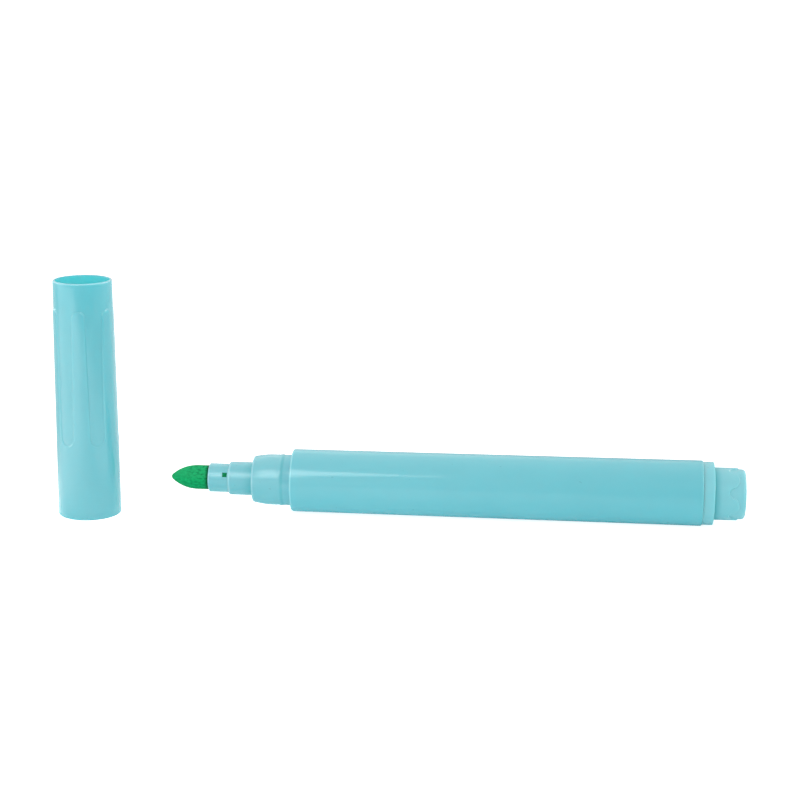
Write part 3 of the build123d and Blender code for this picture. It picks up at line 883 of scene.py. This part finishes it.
def felt(name):
    """Bonded fibre soaked with ink: strands along the nib, dark pits, painted light on the top, painted
    shade underneath, and a dark ring at the holder that is partly ink and partly painted shade.
    """
    mat, tree, shader, coords = material(name)
    place = tree.split(coords)
    strands = tree.map_range(tree.noise(coords, STRAND_SCALE, 3, (0.22, 1, 1)), 0.35, 0.65, 0, 1)
    wet = tree.map_range(tree.noise(coords, WET_SCALE, 3, (0.5, 1, 1)), 0.38, 0.68, 0, 1)
    colour = tree.mix(strands, INK_DEEP, INK_LIGHT)
    colour = tree.mix(wet, colour, INK_WET)
    # Painted light on the nib's top and painted shade on its underside
    colour = tree.mix(tree.map_range(place["Z"], *NIB_PAINTED_LIGHT_HEIGHTS, 0, 0.5), colour, INK_PAINTED_LIGHT_TOP)
    colour = tree.mix(tree.map_range(place["Z"], *NIB_PAINTED_SHADE_HEIGHTS, 0.5, 0), colour, INK_PAINTED_SHADE_BELOW)
    pits = tree.map_range(tree.noise(coords, PIT_SCALE, 2, (0.7, 1, 1)), 0.46, 0.64, 0, 1)
    pits = tree.maths("MULTIPLY", pits, tree.map_range(place["X"], *NIB_PITTED, 0.1, 0.68))
    colour = tree.mix(pits, colour, INK_PITS)
    # Dark ring at the holder: partly ink, partly painted shade, fading inside the holder
    root = tree.map_range(place["X"], *NIB_ROOT, 0, 0.95)
    root = tree.maths("MULTIPLY", root, tree.map_range(place["X"], *NIB_INSIDE, 1, 0))
    colour = tree.mix(root, colour, INK_AND_SHADE_ROOT)
    tree.links.new(colour, shader.inputs["Base Color"])
    tree.links.new(tree.map_range(strands, 0, 1, 0.75, 0.95), shader.inputs["Roughness"])
    tree.bump(shader, tree.noise(coords, FUZZ_SCALE, 3, (0.3, 1, 1)), FUZZ_HEIGHT, 0.6)
    shader.inputs["Specular IOR Level"].default_value = 0.08
    return mat


GRAIN_HEIGHT = 0.01 * MM


def grained(name, tone, deep, roughness, scale, metallic=0.0):
    """A plain finish with a little unevenness in colour, gloss and surface."""
    mat, tree, shader, coords = material(name)
    grain = tree.map_range(tree.noise(coords, scale, 3), 0.3, 0.7, 0, 1)
    tree.links.new(tree.mix(grain, tone, deep), shader.inputs["Base Color"])
    tree.links.new(tree.map_range(grain, 0, 1, *roughness), shader.inputs["Roughness"])
    tree.bump(shader, grain, GRAIN_HEIGHT, 0.3)
    shader.inputs["Metallic"].default_value = metallic
    return mat


natural = grained("natural_plastic", (0.80, 0.82, 0.80), (0.74, 0.76, 0.75), (0.38, 0.5), 500)
rubber = grained("gasket_rubber", (0.035, 0.035, 0.037), (0.022, 0.022, 0.024), (0.6, 0.75), 900)
wire_steel = grained("spring_steel", (0.62, 0.62, 0.63), (0.5, 0.5, 0.52), (0.25, 0.4), 1500, 1.0)
ball_steel = grained("ball_steel", (0.70, 0.70, 0.71), (0.63, 0.63, 0.65), (0.08, 0.16), 700, 1.0)


def dress(obj, mat, body, slot_name, *nodes_replaced):
    obj.data.materials.append(mat)
    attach(obj, body)
    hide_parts(*nodes_replaced)


dress(barrel, barrel_aqua, "marker", "aqua_plastic", "barrel")
dress(nose, nose_aqua, "marker", "aqua_plastic", "nose_section")
dress(tail, tail_aqua, "marker", "aqua_plastic", "tail_plug")
dress(cap, cap_aqua, "cap", "aqua_plastic", "cap_shell")
dress(nib, felt("nib_felt"), "nib_and_stem", "nib_fibre", "nib")
dress(spring, wire_steel, "marker", "spring_steel", "valve_spring")
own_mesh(spring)

for node, mat in (
    ("cap_inner_seal", natural),
    ("valve_body", natural),
    ("valve_stem", natural),
    ("valve_cage", natural),
    ("valve_gasket", rubber),
    ("mixing_ball", ball_steel),
):
    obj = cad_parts[node]
    obj.data.materials.clear()
    obj.data.materials.append(mat)

# Floor: its tone, and its glow as the camera sees it and as the object does
FLOOR_SIZE = 12.0
FLOOR_TONE = 0.95
FLOOR_GLOW = 0.8
FLOOR_GLOW_BELOW = 0.12

# How bright the floor is in reflections, by place along x, and behind the object: a painted pool of light
# from the left lamp, with a painted shadow of the cap around x -0.06 to -0.035
FLOOR_GLOSS_REACH = (-0.4, 0.3)
FLOOR_GLOSS = (
    (-0.4, 2.6),
    (-0.13, 3.6),
    (-0.1, 3.5),
    (-0.085, 2.7),
    (-0.06, 2.1),
    (-0.045, 1.8),
    (-0.035, 1.8),
    (-0.027, 2.3),
    (0.0, 2.4),
    (0.036, 1.8),
    (0.07, 1.2),
    (0.1, 0.9),
    (0.3, 0.67),
)
FLOOR_GLOSS_BEHIND = 1.1
FLOOR_BEHIND = (-0.02, 0.03)

# The table's front edge in reflections: level on the left, nearer on the right, a dark room beyond it
TABLE_FRONT = -0.31
TABLE_EDGE = -0.245
TABLE_SLANT = 0.33
TABLE_EDGE_SOFT = 0.002
ROOM_REACH = (-0.2, 0.17)
ROOM_GLOSS = (0.8, 0.1)


def seen_directly(tree):
    """1 for camera, glossy and transmission rays and 0 for rays that light things; then glossy alone."""
    path = tree.nodes.new("ShaderNodeLightPath").outputs
    mirrored = tree.maths("MAXIMUM", path["Is Glossy Ray"], path["Is Transmission Ray"])
    return tree.maths("MAXIMUM", path["Is Camera Ray"], mirrored), path["Is Glossy Ray"]


def floor_material():
    """Pale floor. In reflections it has a painted pool of light, brighter on the left, and a painted shadow
    to the right of the cap, and the room is dark beyond it.
    """
    mat = bpy.data.materials.new("pale_floor")
    tree = Tree(mat)
    tree.nodes.remove(tree.nodes["Principled BSDF"])
    place = tree.split(tree.nodes.new("ShaderNodeNewGeometry").outputs["Position"])
    seen, mirrored = seen_directly(tree)
    behind = tree.map_range(place["Y"], *FLOOR_BEHIND, 0, 1)
    tone = tree.ramp(place["X"], FLOOR_GLOSS_REACH, FLOOR_GLOSS)
    tone = tree.between(behind, tone, FLOOR_GLOSS_BEHIND)
    edge = tree.maths("MULTIPLY_ADD", place["X"], TABLE_SLANT, TABLE_EDGE)
    edge = tree.maths("MAXIMUM", edge, TABLE_FRONT)
    past_edge = tree.maths("SUBTRACT", place["Y"], edge)
    table = tree.map_range(past_edge, -TABLE_EDGE_SOFT, TABLE_EDGE_SOFT, 0, 1)
    room = tree.map_range(place["X"], *ROOM_REACH, *ROOM_GLOSS)
    tone = tree.between(mirrored, 1, tree.between(table, room, tone))
    diffuse = tree.nodes.new("ShaderNodeBsdfDiffuse")
    tree.links.new(tree.maths("MULTIPLY", tone, FLOOR_TONE), diffuse.inputs["Color"])
    glow = tree.nodes.new("ShaderNodeEmission")
    strength = tree.between(seen, FLOOR_GLOW_BELOW, FLOOR_GLOW)
    tree.links.new(tree.between(mirrored, strength, 0), glow.inputs["Strength"])
    both = tree.nodes.new("ShaderNodeAddShader")
    tree.links.new(diffuse.outputs[0], both.inputs[0])
    tree.links.new(glow.outputs[0], both.inputs[1])
    tree.links.new(both.outputs[0], tree.nodes["Material Output"].inputs["Surface"])
    return mat


half = FLOOR_SIZE / 2
floor = new_object(
    "floor", [(-half, -half, 0), (half, -half, 0), (half, half, 0), (-half, half, 0)], [(0, 1, 2, 3)]
)
floor.data.materials.append(floor_material())

# The world is a white tent: its light from below and above, and its brightness in reflections
AMBIENT = (1.07, 0.84)
TENT_GLOSS = 2.1

# In reflections it opens in front and is dimmer low at the back. Each map goes from two numbers to two.
OPENING_MIDDLE = 0.08
OPENING_ACROSS = (0, 0.25, 0.8, 0)
OPENING_BY_HEIGHT = (0, 1, 1, 0.6)
OPENING_BY_DEPTH = (-0.5, 0.2, 1, 0.5)
BACK_BY_DEPTH = (0.45, 0.95, 0, 0.62)
BACK_BY_HEIGHT = (0.2, 0.55, 1, 0.2)


def studio_world():
    world = bpy.data.worlds.new("studio")
    tree = Tree(world)
    way = tree.split(tree.nodes.new("ShaderNodeTexCoord").outputs["Generated"])
    opening = tree.map_range(tree.away(way["X"], OPENING_MIDDLE), *OPENING_ACROSS)
    opening = tree.maths("MULTIPLY", opening, tree.map_range(way["Z"], *OPENING_BY_HEIGHT))
    opening = tree.maths("MULTIPLY", opening, tree.map_range(way["Y"], *OPENING_BY_DEPTH))
    back = tree.map_range(way["Y"], *BACK_BY_DEPTH)
    back = tree.maths("MULTIPLY", back, tree.map_range(way["Z"], *BACK_BY_HEIGHT))
    gloss = tree.between(opening, TENT_GLOSS, 0)
    gloss = tree.between(back, gloss, 0)
    seen, mirrored = seen_directly(tree)
    white = tree.between(mirrored, 1, gloss)
    sky = tree.map_range(way["Z"], 0, 1, *AMBIENT)
    background = tree.nodes["Background"]
    background.inputs["Color"].default_value = (1, 1, 1, 1)
    tree.links.new(tree.between(seen, sky, white), background.inputs["Strength"])
    return world


bpy.context.scene.world = studio_world()


# Lamp and cards
def softbox(name, place, aim, width, height, radiance):
    """An area lamp of a given brightness where white is 1."""
    lamp = bpy.data.lights.new(name, "AREA")
    lamp.shape = "RECTANGLE"
    lamp.size = width
    lamp.size_y = height
    lamp.energy = radiance * math.pi * width * height
    obj = bpy.data.objects.new(name, lamp)
    obj.location = place
    obj.rotation_euler = (Vector(aim) - Vector(place)).to_track_quat("-Z", "Y").to_euler()
    bpy.context.scene.collection.objects.link(obj)


softbox("key_left", (-0.75, -0.25, 0.6), (-0.05, 0, 0.02), 0.6, 0.6, 0.25)


def reflector(name, outline, radiance, fade=None):
    """A lit card that shows only in gloss. Its brightness may fade along x from one place to another."""
    mat = bpy.data.materials.new(name)
    tree = Tree(mat)
    tree.nodes.remove(tree.nodes["Principled BSDF"])
    glow = tree.nodes.new("ShaderNodeEmission")
    glow.inputs["Strength"].default_value = radiance
    if fade:
        place = tree.split(tree.nodes.new("ShaderNodeNewGeometry").outputs["Position"])
        tree.links.new(tree.map_range(place["X"], *fade), glow.inputs["Strength"])
    tree.links.new(glow.outputs[0], tree.nodes["Material Output"].inputs["Surface"])
    obj = new_object(name, outline, [tuple(range(len(outline)))])
    obj.data.materials.append(mat)
    obj.visible_camera = False
    obj.visible_diffuse = False
    obj.visible_shadow = False


# Softbox in front on the left, with the strip that draws the long streak on the barrel
CARD_Y = -0.45
CARD_GLOW = 6.0
CARD_FADE = (-0.12, -0.03, CARD_GLOW, 3.2)  # along x, from one place and brightness to another
CARD_OUTLINE = (
    (-0.33, 0.2),
    (-0.1, 0.2),
    (-0.1, 0.3),
    (-0.075, 0.36),
    (-0.055, 0.39),
    (-0.034, 0.46),
    (-0.035, 0.49),
    (-0.062, 0.49),
    (-0.11, 0.56),
    (-0.122, 0.51),
    (-0.15, 0.69),
    (-0.33, 0.75),
)  # x and z
reflector("front_softbox", [(x, CARD_Y, z) for x, z in CARD_OUTLINE], CARD_GLOW, CARD_FADE)

SIDE_CARD_X = 0.5
SIDE_CARD_LOW = 0.02
SIDE_CARD_HIGH = 0.22
SIDE_CARD_GLOW = 4.5


def side_card(name, x, front, back):
    """A lit card beside the table, which lights the edges that face it."""
    low, high = SIDE_CARD_LOW, SIDE_CARD_HIGH
    outline = [(x, front, low), (x, back, low), (x, back, high), (x, front, high)]
    reflector(name, outline, SIDE_CARD_GLOW)


side_card("left_card", -SIDE_CARD_X, -0.4, 0.2)
side_card("right_card", SIDE_CARD_X, 0.02, 0.45)

# Camera, fitted to the photograph
EYE = Vector((0.041385, -0.42592, 0.13194))
AIM = Vector((-0.000235, 0.00548, 0.02788))
ROLL = math.radians(0.307)
LENS = 83.59
SENSOR = 36
camera_data = bpy.data.cameras.new("camera")
camera_data.sensor_width = SENSOR
camera_data.sensor_height = SENSOR
camera_data.lens = LENS
camera_data.clip_start = 0.01
camera_data.clip_end = 50
camera = bpy.data.objects.new("camera", camera_data)
ahead = (AIM - EYE).normalized()
level = ahead.cross(Vector((0, 0, 1))).normalized()
upright = level.cross(ahead)
right = level * math.cos(ROLL) + upright * math.sin(ROLL)
up = right.cross(ahead)
camera.matrix_world = Matrix.Translation(EYE) @ Matrix((right, up, -ahead)).transposed().to_4x4()
bpy.context.scene.collection.objects.link(camera)
bpy.context.scene.camera = camera
bpy.context.scene.view_settings.view_transform = "Standard"
